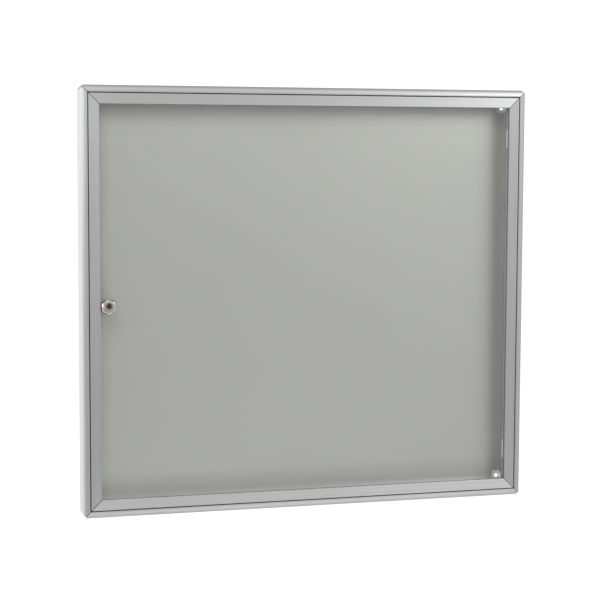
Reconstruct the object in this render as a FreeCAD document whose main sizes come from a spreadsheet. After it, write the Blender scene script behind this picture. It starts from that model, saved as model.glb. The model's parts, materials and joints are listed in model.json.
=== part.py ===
import FreeCAD, Part
import Sketcher
import math
import os

# Lockable notice board: a flat wall case with one hinged, glazed door.
# Units are millimetres. +X right, +Y into the wall, +Z up, seen from the front.
# The origin is the centre of the four wall holes, on the back panel's back face.
# "v" below is the depth behind the door's front face, so y = v - zero.
# "u" is the distance outwards from the board's centre, along X or along Z.

V = FreeCAD.Vector
R = FreeCAD.Rotation
PL = FreeCAD.Placement

doc = FreeCAD.newDocument("NoticeBoard")
sheet = doc.addObject("Spreadsheet::Sheet", "Params")
sheet.Label = "Params"


class Q:
    """A number together with the sheet expression that gives it."""

    def __init__(self, val, expr):
        self.val = float(val)
        self.expr = expr

    def __add__(self, o):
        o = q(o)
        return Q(self.val + o.val, "(%s + %s)" % (self.expr, o.expr))

    __radd__ = __add__

    def __sub__(self, o):
        o = q(o)
        return Q(self.val - o.val, "(%s - %s)" % (self.expr, o.expr))

    def __rsub__(self, o):
        return q(o) - self

    def __mul__(self, o):
        o = q(o)
        return Q(self.val * o.val, "(%s * %s)" % (self.expr, o.expr))

    __rmul__ = __mul__

    def __truediv__(self, o):
        o = q(o)
        return Q(self.val / o.val, "(%s / %s)" % (self.expr, o.expr))

    def __neg__(self):
        return Q(-self.val, "(0 - %s)" % self.expr)


def q(x):
    if isinstance(x, Q):
        return x
    x = float(x)
    return Q(x, "%.6f" % x if x >= 0 else "(0 - %.6f)" % -x)


class Dims:
    pass


P = Dims()
row = [1]


def dim(alias, value, note):
    i = row[0]
    sheet.set("A%d" % i, note)
    sheet.set("B%d" % i, repr(float(value)))
    sheet.setAlias("B%d" % i, alias)
    setattr(P, alias, Q(value, "Params." + alias))
    row[0] += 1


dim("open_w", 670.0, "visible opening, width (three A4 sheets side by side)")
dim("open_h", 610.0, "visible opening, height (two A4 sheets)")
dim("stile_w", 16.0, "door frame, face width")
dim("gap_w", 1.7, "gap between door and rim")
dim("rim_w", 10.8, "rim of the case, face width")
dim("rim_rad", 9.0, "rounding of the rim's front outer edge")
dim("depth", 37.0, "depth of the case from door front to wall")
dim("wall_t", 1.5, "extrusion wall")
dim("ledge_d", 14.5, "depth of the ledge that the door closes on")
dim("ledge_w", 13.5, "width of that ledge inside the rim")
dim("panel_d", 33.0, "depth of the back panel's front face")
dim("panel_t", 1.0, "back panel sheet thickness")
dim("rebate_w", 7.0, "width of the back panel's seat")
dim("corner_cut", 7.0, "corner tip cut off at 45 degrees, along each side")
dim("lip_t", 3.0, "door lip in front of the glazing slot")
dim("slot_w", 4.0, "glazing slot width")
dim("slot_dep", 6.0, "glazing slot depth")
dim("door_t", 12.0, "door frame depth at its inner part")
dim("edge_t", 9.0, "door frame depth at its outer edge")
dim("inner_w", 7.5, "width of the door frame's deep inner part")
dim("pane_t", 3.0, "pane thickness")
dim("gask_t", 0.5, "gasket wall")
dim("gask_lip", 0.4, "gasket standing in from the lip")
dim("pivot_in", 6.5, "hinge axis, distance in from the door's outer edge")
dim("pivot_v", 4.3, "hinge axis, depth behind the door's front")
dim("pin_rad", 1.5, "hinge pin radius")
dim("knuckle_rad", 2.5, "hinge knuckle radius")
dim("hinge_z", 255.0, "hinge centres above and below the middle")
dim("hinge_half", 15.0, "half of a hinge's height")
dim("knuckle_half", 10.7, "half of the case knuckle's height")
dim("hole_x", 333.0, "wall fixing holes, half spacing across")
dim("hole_z", 304.9, "wall fixing holes, half spacing up")
dim("hole_rad", 3.5, "wall fixing holes, radius")
dim("bracket_t", 1.6, "corner bracket sheet thickness")
dim("mitre_gap", 0.26, "hairline at a mitre, on each side, along the bar")
dim("lock_x", -322.0, "lock axis across")
dim("lock_z", -5.0, "lock axis up")
dim("plug_up", 1.5, "plug axis above the lock axis")
dim("barrel_rad", 8.5, "lock barrel radius")
dim("plug_rad", 4.5, "lock plug radius")
dim("drive_rad", 4.6, "drive pin, distance from the plug axis")
dim("bolt_t", 2.5, "bolt thickness")
doc.recompute()

hw, hh = P.open_w / 2, P.open_h / 2  # visible opening
dw, dh = hw + P.stile_w, hh + P.stile_w  # door, outside
rw, rh = dw + P.gap_w, dh + P.gap_w  # rim, inside
ow, oh = rw + P.rim_w, rh + P.rim_w  # case, outside
iw, ih = rw - P.ledge_w, rh - P.ledge_w  # inner wall of the case
bw, bh = iw + P.rebate_w, ih + P.rebate_w  # edge of the back panel's seat
skew = ow - oh
zero = P.panel_d + P.panel_t  # depth of the origin
made = {}  # node name -> document object


def Y(v):
    """Depth behind the door front -> y."""
    return q(v) - zero


def F(v):
    """Depth behind the door front -> offset of a sketch on the XZ plane."""
    return zero - q(v)


def bind(o, prop, val):
    val = q(val)
    o.setExpression(prop, val.expr)


def place(o, x, y, z, rot=None):
    x, y, z = q(x), q(y), q(z)
    o.Placement = PL(V(x.val, y.val, z.val), rot or R())
    bind(o, "Placement.Base.x", x)
    bind(o, "Placement.Base.y", y)
    bind(o, "Placement.Base.z", z)
    return o


def box(name, x0, x1, y0, y1, z0, z1):
    o = doc.addObject("Part::Box", name)
    x0, x1, y0, y1, z0, z1 = [q(a) for a in (x0, x1, y0, y1, z0, z1)]
    for prop, a, b in (("Length", x0, x1), ("Width", y0, y1), ("Height", z0, z1)):
        setattr(o, prop, b.val - a.val)
        bind(o, prop, b - a)
    return place(o, x0, y0, z0)


AXIS = {"x": R(V(0, 1, 0), 90), "y": R(V(1, 0, 0), -90), "z": R()}


def cyl(name, axis, x, y, z, rad, length):
    """Cylinder from (x, y, z) along +axis."""
    o = doc.addObject("Part::Cylinder", name)
    rad, length = q(rad), q(length)
    o.Radius, o.Height = rad.val, length.val
    bind(o, "Radius", rad)
    bind(o, "Height", length)
    return place(o, x, y, z, AXIS[axis])


def cone(name, axis, x, y, z, r1, r2, length):
    o = doc.addObject("Part::Cone", name)
    r1, r2, length = q(r1), q(r2), q(length)
    o.Radius1, o.Radius2, o.Height = r1.val, r2.val, length.val
    bind(o, "Radius1", r1)
    bind(o, "Radius2", r2)
    bind(o, "Height", length)
    return place(o, x, y, z, AXIS[axis])


def fuse(name, parts):
    o = doc.addObject("Part::MultiFuse", name)
    o.Shapes = parts
    return o


def cut(name, base, tool):
    o = doc.addObject("Part::Cut", name)
    o.Base, o.Tool = base, tool
    return o


def common(name, a, b):
    o = doc.addObject("Part::MultiCommon", name)
    o.Shapes = [a, b]
    return o


def group(name, parts):
    o = doc.addObject("Part::Compound", name)
    o.Links = parts
    return o


def mirror(name, src, normal):
    o = doc.addObject("Part::Mirroring", name)
    o.Source = src
    o.Base = V(0, 0, 0)
    o.Normal = normal
    return o


MX, MZ = V(1, 0, 0), V(0, 0, 1)


def node(name, o):
    """Declare a finished sub-part. Its label is the name of its file."""
    o.Label = name
    made[name] = o
    return o


def plane(body, role):
    return [f for f in body.Origin.OriginFeatures if f.Role == role][0]


def sketch(body, name, role, off=0):
    """Sketch on one of the body's own origin planes, moved along its normal."""
    s = body.newObject("Sketcher::SketchObject", name)
    s.AttachmentSupport = [(plane(body, role), "")]
    s.MapMode = "FlatFace"
    off = q(off)
    s.AttachmentOffset = PL(V(0, 0, off.val), R())
    bind(s, "AttachmentOffset.Base.z", off)
    return s


def pin_point(s, geo, pos, x, y):
    """Hold a point of the sketch at (x, y), both bound to the sheet."""
    for kind, a in (("DistanceX", q(x)), ("DistanceY", q(y))):
        c = s.addConstraint(Sketcher.Constraint(kind, -1, 1, geo, pos, a.val))
        s.setExpression("Constraints[%d]" % c, a.expr)


def loop(s, pts):
    """Closed outline. A point is (x, y), or (x, y, r, cx, cy, ccw) when an arc of
    radius r about (cx, cy) runs from it to the next point."""
    first = None
    ids = []
    n = len(pts)
    for i, p in enumerate(pts):
        nx = pts[(i + 1) % n]
        a = V(q(p[0]).val, q(p[1]).val, 0)
        b = V(q(nx[0]).val, q(nx[1]).val, 0)
        if len(p) == 2:
            ids.append((s.addGeometry(Part.LineSegment(a, b)), 1, 2))
        else:
            r, cx, cy, ccw = q(p[2]), q(p[3]), q(p[4]), p[5]
            c = V(cx.val, cy.val, 0)
            t0 = math.atan2(a.y - c.y, a.x - c.x)
            t1 = math.atan2(b.y - c.y, b.x - c.x)
            if not ccw:
                t0, t1 = t1, t0
            if t1 < t0:
                t1 += 2 * math.pi
            g = s.addGeometry(
                Part.ArcOfCircle(Part.Circle(c, V(0, 0, 1), r.val), t0, t1)
            )
            k = s.addConstraint(Sketcher.Constraint("Radius", g, r.val))
            s.setExpression("Constraints[%d]" % k, r.expr)
            ids.append((g, 1, 2) if ccw else (g, 2, 1))
    for i in range(n):
        g, _, e = ids[i]
        g2, st, _ = ids[(i + 1) % n]
        s.addConstraint(Sketcher.Constraint("Coincident", g, e, g2, st))
    for i, p in enumerate(pts):
        g, st, _ = ids[i]
        pin_point(s, g, st, p[0], p[1])
    return first


def soft(pts):
    """Outline with right-angled corners along the axes. A point is (x, y, r); a
    corner with r > 0 is rounded. Other tuples pass through."""
    out = []
    n = len(pts)
    for i, p in enumerate(pts):
        if len(p) != 3:
            out.append(p)
            continue
        x, y, r = q(p[0]), q(p[1]), q(p[2])
        if not r.val:
            out.append((x, y))
            continue
        a, b = pts[i - 1], pts[(i + 1) % n]
        ax = (q(a[0]).val > x.val + 1e-6) - (q(a[0]).val < x.val - 1e-6)
        ay = (q(a[1]).val > y.val + 1e-6) - (q(a[1]).val < y.val - 1e-6)
        bx = (q(b[0]).val > x.val + 1e-6) - (q(b[0]).val < x.val - 1e-6)
        by = (q(b[1]).val > y.val + 1e-6) - (q(b[1]).val < y.val - 1e-6)
        if abs(ax) + abs(ay) != 1 or abs(bx) + abs(by) != 1:
            raise RuntimeError("corner %d of an outline isn't square" % i)
        turn = -ax * by + ay * bx
        # the first point starts the arc, the second ends it
        out.append(
            (
                x + ax * r,
                y + ay * r,
                r,
                x + (ax + bx) * r,
                y + (ay + by) * r,
                turn > 0,
            )
        )
        out.append((x + bx * r, y + by * r))
    return out


def circle(s, x, y, rad):
    x, y, rad = q(x), q(y), q(rad)
    g = s.addGeometry(Part.Circle(V(x.val, y.val, 0), V(0, 0, 1), rad.val))
    k = s.addConstraint(Sketcher.Constraint("Radius", g, rad.val))
    s.setExpression("Constraints[%d]" % k, rad.expr)
    pin_point(s, g, 3, x, y)


def pad(body, name, s, length, reverse=False):
    f = body.newObject("PartDesign::Pad", name)
    f.Profile = s
    f.Length = q(length).val
    bind(f, "Length", length)
    f.Reversed = reverse
    s.Visibility = False
    doc.recompute()
    return f


def pocket(body, name, s, length, reverse=False):
    doc.recompute()
    before = body.Tip.Shape.Volume
    f = body.newObject("PartDesign::Pocket", name)
    f.Profile = s
    f.Length = q(length).val
    bind(f, "Length", length)
    f.Reversed = reverse
    s.Visibility = False
    doc.recompute()
    if f.Shape.Volume > before - 1e-3:
        raise RuntimeError("pocket %s removes nothing" % name)
    return f


# ---------------------------------------------------------------- case frame
# Hollow extrusion: a rounded rim in front, a deep chamber behind with the ledge
# that the door closes on and the seat of the back panel. Four lengths, mitred.


def case_outer(side):
    """Outline of the section: across, y, radius of the corner."""
    o, r, i, b = side
    return [
        (r, Y(0), 0.5),
        (o, Y(0), P.rim_rad),
        (o, Y(P.depth), 0.6),
        (b, Y(P.depth), 0.4),
        (b, Y(P.panel_d), 0),
        (i, Y(P.panel_d), 0.3),
        (i, Y(P.ledge_d), 0.4),
        (r, Y(P.ledge_d), 0),
    ]


def case_inner(side):
    o, r, i, b = side
    t = P.wall_t
    return [
        (r + t, Y(t), 0),
        (o - t, Y(t), P.rim_rad - t),
        (o - t, Y(P.depth - t), 0.3),
        (b + t, Y(P.depth - t), 0),
        (b + t, Y(P.panel_d - t), 0),
        (i + t, Y(P.panel_d - t), 0),
        (i + t, Y(P.ledge_d + t), 0),
        (r + t, Y(P.ledge_d + t), 0),
    ]


def flip(pts):
    """The same outline with its two coordinates exchanged."""
    return [(p[1], p[0], p[2]) for p in pts]


# right stile: section in the XY plane, run along Z
side_x = (ow, rw, iw, bw)
side_z = (oh, rh, ih, bh)


def case_stile():
    b = doc.addObject("PartDesign::Body", "case_stile_bar")
    s = sketch(b, "case_stile_section", "XY_Plane", -oh)
    loop(s, soft(case_outer(side_x)))
    loop(s, soft(case_inner(side_x)))
    pad(b, "case_stile_run", s, oh * 2)
    # both ends mitred, and the tip of each corner cut off
    m = sketch(b, "case_stile_mitre", "XZ_Plane", F(-1))
    x0 = iw - 5
    for sz in (1, -1):
        loop(
            m,
            [
                (x0, (x0 - skew - P.mitre_gap) * sz),
                (
                    ow - P.corner_cut / 2 + P.mitre_gap / 2,
                    (oh - P.corner_cut / 2 - P.mitre_gap / 2) * sz,
                ),
                (ow + 2, (oh - P.corner_cut - 2) * sz),
                (ow + 2, (oh + 2) * sz),
                (x0, (oh + 2) * sz),
            ],
        )
    pocket(b, "case_stile_ends", m, P.depth + 2)
    return b


def case_rail():
    b = doc.addObject("PartDesign::Body", "case_rail_bar")
    s = sketch(b, "case_rail_section", "YZ_Plane", -ow)
    loop(s, soft(flip(case_outer(side_z))))
    loop(s, soft(flip(case_inner(side_z))))
    pad(b, "case_rail_run", s, ow * 2)
    m = sketch(b, "case_rail_mitre", "XZ_Plane", F(-1))
    z0 = ih - 5
    for sx in (1, -1):
        loop(
            m,
            [
                ((z0 + skew - P.mitre_gap) * sx, z0),
                (
                    (ow - P.corner_cut / 2 - P.mitre_gap / 2) * sx,
                    oh - P.corner_cut / 2 + P.mitre_gap / 2,
                ),
                ((ow - P.corner_cut - 2) * sx, oh + 2),
                ((ow + 2) * sx, oh + 2),
                ((ow + 2) * sx, z0),
            ],
        )
    pocket(b, "case_rail_ends", m, P.depth + 2)
    return b


stile_bar = case_stile()
rail_bar = case_rail()

# Screws through the back wall of the frame into the corner keys
key_in = P.wall_t + 0.2
key_u = ((bw + P.wall_t) + (ow - P.wall_t)) / 2
key_w = ((bh + P.wall_t) + (oh - P.wall_t)) / 2
key_screw_at = []  # (x, z) in the upper right quarter
key_screw_at.append((ow - 38, key_w, "rail"))
key_screw_at.append((key_u, oh - 38, "stile"))


def csk(name, x, y_out, z, big, small, head, deep, inward=-1):
    """Countersunk screw or its seat along Y: the flat of the head is at y_out."""
    # head cone tapers away from the outer face
    if inward < 0:
        a = cone(name + "_head", "y", x, q(y_out) - head, z, small, big, head)
        b = cyl(name + "_shank", "y", x, q(y_out) - deep, z, small, deep - head)
    else:
        a = cone(name + "_head", "y", x, y_out, z, big, small, head)
        b = cyl(name + "_shank", "y", x, q(y_out) + head, z, small, deep - head)
    return [a, b]


def screw(name, x, y_out, z, big, small, head, deep, inward=-1, socket=0.62):
    """Countersunk screw with a six-sided socket in its head."""
    body = fuse(name + "_body", csk(name, x, y_out, z, big, small, head, deep, inward))
    o = doc.addObject("Part::Prism", name + "_socket")
    o.Polygon = 6
    r, d = q(small * socket), q(head * 0.85)
    o.Circumradius, o.Height = r.val, d.val + 1
    bind(o, "Circumradius", r)
    bind(o, "Height", d + 1)
    place(o, x, q(y_out) - (d if inward < 0 else 1), z, AXIS["y"])
    return cut(name, body, o)


# Rivets of the back panel's retainers, driven from behind
rivet_x = bw - 3.4
rivet_z = bh - 3.4
stile_rivet_z = (-240, 0, 240)
rail_rivet_x = (-270, 0, 270)

# holes of the right stile: key screws, retainer rivets, bracket rivets, hinge screws
hinge_screw_x = rw - 3.2
brk_rivet_z = P.hole_z - 1.2
brk_rivet_v = P.panel_d - 4.6


def stile_tools(tag, hinge):
    t = []
    for n, sz in (("a", 1), ("b", -1)):
        t += csk(
            "seat_key_%s_%s" % (tag, n),
            key_u,
            Y(P.depth),
            (oh - 38) * sz,
            3.1,
            1.65,
            1.5,
            3.0,
        )
        if hinge:
            t.append(
                cyl(
                    "seat_brk_%s_%s" % (tag, n),
                    "x",
                    iw - 0.5,
                    Y(brk_rivet_v),
                    brk_rivet_z * sz,
                    1.22,
                    P.wall_t + 1.0,
                )
            )
    for k, z in enumerate(stile_rivet_z):
        t.append(
            cyl(
                "seat_ret_%s_%d" % (tag, k),
                "y",
                rivet_x,
                Y(P.panel_d - P.wall_t - 0.5),
                z,
                1.22,
                P.wall_t + 1.0,
            )
        )
    if hinge:
        for n, sz in (("u", 1), ("d", -1)):
            for k, dz in (("a", 9), ("b", -9)):
                t.append(
                    cyl(
                        "seat_hinge_%s%s" % (n, k),
                        "y",
                        hinge_screw_x,
                        Y(P.ledge_d - 0.5),
                        P.hinge_z * sz + dz,
                        1.42,
                        P.wall_t + 1.0,
                    )
                )
    return t


node(
    "case_stile_right",
    cut("case_stile_right", stile_bar, group("stile_r_tools", stile_tools("r", True))),
)
stile_l_plain = cut(
    "case_stile_plain", stile_bar, group("stile_l_tools", stile_tools("l", False))
)
stile_l_mirror = mirror("case_stile_left_mirror", stile_l_plain, MX)
# The keeper: a slot in the left stile's inner wall, which the bolt enters
keeper = box(
    "keeper_slot",
    -iw - P.wall_t - 0.3,
    -iw + 0.3,
    Y(P.ledge_d + P.wall_t + 0.1),
    Y(P.ledge_d + 4.9),
    P.lock_z - 5.1,
    P.lock_z + 9.1,
)
node("case_stile_left", cut("case_stile_left", stile_l_mirror, keeper))

rail_tools = []
for n, sx in (("a", 1), ("b", -1)):
    rail_tools += csk(
        "seat_key_rail_" + n, (ow - 38) * sx, Y(P.depth), key_w, 3.1, 1.65, 1.5, 3.0
    )
for k, x in enumerate(rail_rivet_x):
    rail_tools.append(
        cyl(
            "seat_ret_rail_%d" % k,
            "y",
            x,
            Y(P.panel_d - P.wall_t - 0.5),
            rivet_z,
            1.22,
            P.wall_t + 1.0,
        )
    )
rail_top = cut("case_rail_top", rail_bar, group("rail_tools", rail_tools))
node("case_rail_top", rail_top)
node("case_rail_bottom", mirror("case_rail_bottom", rail_top, MZ))

# ---------------------------------------------------------------- corner keys
# An angle in the chamber joins rail and stile. Its nose fills the tip that the
# cut corner leaves open.


def case_key():
    b = doc.addObject("PartDesign::Body", "case_key_angle")
    s = sketch(b, "case_key_plan", "XZ_Plane", F(P.ledge_d + P.wall_t + 0.3))
    a = key_in
    c = P.corner_cut
    leg = 60
    loop(
        s,
        [
            (ow - leg, oh - a),
            (ow - c + a, oh - a),
            (ow - a, oh - c + a),
            (ow - a, oh - leg),
            (bw + a, oh - leg),
            (bw + a, bh + a),
            (ow - leg, bh + a),
        ],
    )
    # the sketch faces the front, so the pad runs back into the chamber reversed
    pad(
        b,
        "case_key_legs",
        s,
        P.depth - P.wall_t - 0.3 - (P.ledge_d + P.wall_t + 0.3),
        True,
    )
    return b


key_legs = case_key()
# nose: what lies inside both rounded rims and in front of the cut plane
rim_c, rim_d = ow - P.rim_rad, oh - P.rim_rad
rr = P.rim_rad - P.wall_t - 0.2
nose_end = Y(P.ledge_d + P.wall_t + 0.5)
na = fuse(
    "nose_x",
    [
        box(
            "nose_x_box",
            rw + P.wall_t + 0.2,
            ow - key_in,
            Y(P.rim_rad),
            nose_end,
            oh - 20,
            oh + 2,
        ),
        cyl("nose_x_cyl", "z", rim_c, Y(P.rim_rad), oh - 20, rr, 22),
    ],
)
nb = fuse(
    "nose_z",
    [
        box(
            "nose_z_box",
            ow - 20,
            ow + 2,
            Y(P.rim_rad),
            nose_end,
            rh + P.wall_t + 0.2,
            oh - key_in,
        ),
        cyl("nose_z_cyl", "x", ow - 20, Y(P.rim_rad), rim_d, rr, 22),
    ],
)
nose_body = doc.addObject("PartDesign::Body", "nose_prism")
ns = sketch(nose_body, "nose_plan", "XZ_Plane", F(P.wall_t + 0.2))
loop(
    ns,
    [
        (rw + P.wall_t + 0.2, rh + P.wall_t + 0.2),
        (ow + 2, rh + P.wall_t + 0.2),
        (ow + 2, oh - P.corner_cut - 2),
        (ow - P.corner_cut - 2, oh + 2),
        (rw + P.wall_t + 0.2, oh + 2),
    ],
)
pad(nose_body, "nose_run", ns, 25, True)
nose = common("nose", common("nose_both", na, nb), nose_body)
key_raw = fuse("case_key_raw", [key_legs, nose])
key_holes = group(
    "case_key_holes",
    [
        cyl("kh_a", "y", ow - 38, Y(P.depth - 12.0), key_w, 1.62, 12),
        cyl("kh_b", "y", key_u, Y(P.depth - 12.0), oh - 38, 1.62, 12),
    ],
)
key_tr = cut("case_corner_key_tr", key_raw, key_holes)
key_br = mirror("case_corner_key_br", key_tr, MZ)
key_tl = mirror("case_corner_key_tl", key_tr, MX)
key_bl = mirror("case_corner_key_bl", key_tl, MZ)
for o in (key_tr, key_br, key_tl, key_bl):
    node(o.Name, o)

ks = []
for a, sx in (("r", 1), ("l", -1)):
    for b, sz in (("t", 1), ("b", -1)):
        ks.append(
            screw(
                "ks_%s%s_1" % (a, b),
                (ow - 38) * sx,
                Y(P.depth),
                key_w * sz,
                3.0,
                1.6,
                1.5,
                10,
            )
        )
        ks.append(
            screw(
                "ks_%s%s_2" % (a, b),
                key_u * sx,
                Y(P.depth),
                (oh - 38) * sz,
                3.0,
                1.6,
                1.5,
                10,
            )
        )
node("case_key_screws", group("case_key_screws", ks))

# ---------------------------------------------------------------- back panel
edge = 0.5
panel_box = box(
    "panel_sheet",
    -bw + edge,
    bw - edge,
    Y(P.panel_d),
    Y(P.panel_d + P.panel_t),
    -bh + edge,
    bh - edge,
)
panel_holes = []
for a, sx in (("r", 1), ("l", -1)):
    for b, sz in (("t", 1), ("b", -1)):
        panel_holes.append(
            cyl(
                "panel_hole_%s%s" % (a, b),
                "y",
                P.hole_x * sx,
                Y(P.panel_d - 0.5),
                P.hole_z * sz,
                P.hole_rad,
                P.panel_t + 1,
            )
        )
for k, z in enumerate(stile_rivet_z):
    for a, sx in (("r", 1), ("l", -1)):
        panel_holes.append(
            cyl(
                "panel_rv_%s%d" % (a, k),
                "y",
                rivet_x * sx,
                Y(P.panel_d - 0.5),
                z,
                1.22,
                P.panel_t + 1,
            )
        )
for k, x in enumerate(rail_rivet_x):
    for a, sz in (("t", 1), ("b", -1)):
        panel_holes.append(
            cyl(
                "panel_rv_%s%d" % (a, k),
                "y",
                x,
                Y(P.panel_d - 0.5),
                rivet_z * sz,
                1.22,
                P.panel_t + 1,
            )
        )
node("back_panel", cut("back_panel", panel_box, group("panel_holes", panel_holes)))

# Retainers: flat strips behind the panel's edges; blind rivets go through strip,
# panel and seat
ret_v = P.panel_d + P.panel_t
ret_t = 1.2


def ret_x():
    f = box(
        "ret_x_flat", iw + 0.2, bw - 0.2, Y(ret_v), Y(ret_v + ret_t), -ih + 0.1, ih - 0.1
    )
    h = group(
        "ret_x_holes",
        [
            cyl("ret_x_h%d" % k, "y", rivet_x, Y(ret_v - 0.5), z, 1.22, ret_t + 1)
            for k, z in enumerate(stile_rivet_z)
        ],
    )
    return cut("panel_retainer_right", f, h)


def ret_z():
    f = box(
        "ret_z_flat", -bw + 0.2, bw - 0.2, Y(ret_v), Y(ret_v + ret_t), ih + 0.2, bh - 0.2
    )
    h = group(
        "ret_z_holes",
        [
            cyl("ret_z_h%d" % k, "y", x, Y(ret_v - 0.5), rivet_z, 1.22, ret_t + 1)
            for k, x in enumerate(rail_rivet_x)
        ],
    )
    return cut("panel_retainer_top", f, h)


rx = ret_x()
rz = ret_z()
node("panel_retainer_right", rx)
node("panel_retainer_left", mirror("panel_retainer_left", rx, MX))
node("panel_retainer_top", rz)
node("panel_retainer_bottom", mirror("panel_retainer_bottom", rz, MZ))


def blind_rivet(name, axis, x, y, z, grip, hr=2.4):
    """Low round head at (x, y, z), shank through the sheets: along +X, or along -Y."""
    x, y, z = q(x), q(y), q(z)
    ht, sr, ln = 0.8, 1.2, grip + 0.9
    if axis == "x":
        h = cone(name + "_h", "x", x - ht, y, z, 1.7, hr, ht)
        s = cyl(name + "_s", "x", x, y, z, sr, ln)
    else:
        h = cone(name + "_h", "y", x, y, z, hr, 1.7, ht)
        s = cyl(name + "_s", "y", x, y - ln, z, sr, ln)
    return fuse(name, [h, s])


rv = []
for sx in (1, -1):
    for k, z in enumerate(stile_rivet_z):
        rv.append(
            blind_rivet(
                "rvx%d_%d" % (sx > 0, k), "y", rivet_x * sx, Y(ret_v + ret_t), z, 3.7
            )
        )
for sz in (1, -1):
    for k, x in enumerate(rail_rivet_x):
        rv.append(
            blind_rivet(
                "rvz%d_%d" % (sz > 0, k), "y", x, Y(ret_v + ret_t), rivet_z * sz, 3.7
            )
        )
node("retainer_rivets", group("retainer_rivets", rv))

# ---------------------------------------------------------------- wall brackets
# One in each corner on the hinge side, in front of the panel: a plate with the wall
# hole, and a flange that is riveted to the case. On the lock side the wall holes
# are in the panel alone.


def wall_bracket():
    b = doc.addObject("PartDesign::Body", "wall_bracket_tr")
    s = sketch(b, "bracket_plan", "XZ_Plane", F(P.panel_d - P.bracket_t))
    x0, z0 = P.hole_x - 6.6, P.hole_z - 8.0
    loop(
        s,
        [
            (x0, ih),
            (x0, z0 + 3.5),
            (x0 + 3.5, z0),
            (iw - 1.0, z0, 1.0, iw - 1.0, q(z0) + 1.0, True),
            (iw, q(z0) + 1.0),
            (iw, ih),
        ],
    )
    circle(s, P.hole_x, P.hole_z, P.hole_rad)
    pad(b, "bracket_plate", s, P.bracket_t, True)
    f = sketch(b, "bracket_side", "XZ_Plane", F(P.panel_d - 9.0))
    zf = P.hole_z - 5.2
    loop(f, [(iw - P.bracket_t, ih), (iw - P.bracket_t, zf), (iw, zf), (iw, ih)])
    pad(b, "bracket_flange", f, 9.0, True)
    h = sketch(b, "bracket_rivet_hole", "YZ_Plane", iw + 1)
    circle(h, Y(brk_rivet_v), brk_rivet_z, 1.22)
    pocket(b, "bracket_hole", h, 4)
    return b


br = wall_bracket()
node("wall_bracket_tr", br)
node("wall_bracket_br", mirror("wall_bracket_br", br, MZ))
brv = []
for sz in (1, -1):
    brv.append(
        blind_rivet(
            "brv%d" % (sz > 0),
            "x",
            iw - P.bracket_t,
            Y(brk_rivet_v),
            brk_rivet_z * sz,
            3.1,
            1.95,
        )
    )
node("bracket_rivets", group("bracket_rivets", brv))

# ---------------------------------------------------------------- door seal
# A bulb strip on the ledge, all round; the door closes on it.
seal_c = iw + 1.6
seal_d = ih + 1.6
seal_f = 1.25
seal_r = 1.0
seal_v = P.door_t + 0.1 + seal_r
foot_v = seal_v + 0.4


def seal_x():
    n = seal_d - seal_f - 0.05
    return fuse(
        "door_seal_right",
        [
            box(
                "seal_x_foot",
                seal_c - seal_f,
                seal_c + seal_f,
                Y(foot_v),
                Y(P.ledge_d),
                -n,
                n,
            ),
            cyl("seal_x_bulb", "z", seal_c, Y(seal_v), -n, seal_r, n * 2),
        ],
    )


def seal_z():
    n = seal_c + seal_f
    return fuse(
        "door_seal_top",
        [
            box(
                "seal_z_foot",
                -n,
                n,
                Y(foot_v),
                Y(P.ledge_d),
                seal_d - seal_f,
                seal_d + seal_f,
            ),
            cyl("seal_z_bulb", "x", -n, Y(seal_v), seal_d, seal_r, n * 2),
        ],
    )


sx_, sz_ = seal_x(), seal_z()
node("door_seal_right", sx_)
node("door_seal_left", mirror("door_seal_left", sx_, MX))
node("door_seal_top", sz_)
node("door_seal_bottom", mirror("door_seal_bottom", sz_, MZ))

# ---------------------------------------------------------------- door frame
# Slim extrusion, flush with the rim: a lip and a glazing slot on the inside and
# a small chamber for the corner keys. Four lengths, mitred.


def door_outline(h):
    return [
        (h, Y(0), 0.5),
        (h + P.stile_w, Y(0), 0.6),
        (h + P.stile_w, Y(P.edge_t), 0.4),
        (h + P.inner_w, Y(P.edge_t), 0),
        (h + P.inner_w, Y(P.door_t), 0.4),
        (h, Y(P.door_t), 0.4),
        (h, Y(P.lip_t + P.slot_w), 0.2),
        (h + P.slot_dep, Y(P.lip_t + P.slot_w), 0),
        (h + P.slot_dep, Y(P.lip_t), 0),
        (h, Y(P.lip_t), 0.2),
    ]


def door_chamber(h):
    t = P.wall_t
    return [
        (h + P.inner_w, Y(t), 0),
        (h + P.stile_w - t, Y(t), 0),
        (h + P.stile_w - t, Y(P.edge_t - t), 0),
        (h + P.inner_w, Y(P.edge_t - t), 0),
    ]


def door_stile():
    b = doc.addObject("PartDesign::Body", "door_stile_bar")
    s = sketch(b, "door_stile_section", "XY_Plane", -dh)
    loop(s, soft(door_outline(hw)))
    loop(s, soft(door_chamber(hw)))
    pad(b, "door_stile_run", s, dh * 2)
    m = sketch(b, "door_stile_mitre", "XZ_Plane", F(-1))
    x0, x1 = hw - 5, dw + 2
    for sz in (1, -1):
        loop(
            m,
            [
                (x0, (x0 - skew - P.mitre_gap) * sz),
                (x1, (x1 - skew - P.mitre_gap) * sz),
                (x0, (x1 - skew - P.mitre_gap) * sz),
            ],
        )
    pocket(b, "door_stile_ends", m, P.depth + 2)
    return b


def door_rail():
    b = doc.addObject("PartDesign::Body", "door_rail_bar")
    s = sketch(b, "door_rail_section", "YZ_Plane", -dw)
    loop(s, soft(flip(door_outline(hh))))
    loop(s, soft(flip(door_chamber(hh))))
    pad(b, "door_rail_run", s, dw * 2)
    m = sketch(b, "door_rail_mitre", "XZ_Plane", F(-1))
    z0, z1 = hh - 5, dh + 2
    for sx in (1, -1):
        loop(
            m,
            [
                ((z0 + skew - P.mitre_gap) * sx, z0),
                ((z1 + skew - P.mitre_gap) * sx, z1),
                ((z1 + skew - P.mitre_gap) * sx, z0),
            ],
        )
    pocket(b, "door_rail_ends", m, P.depth + 2)
    return b


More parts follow.
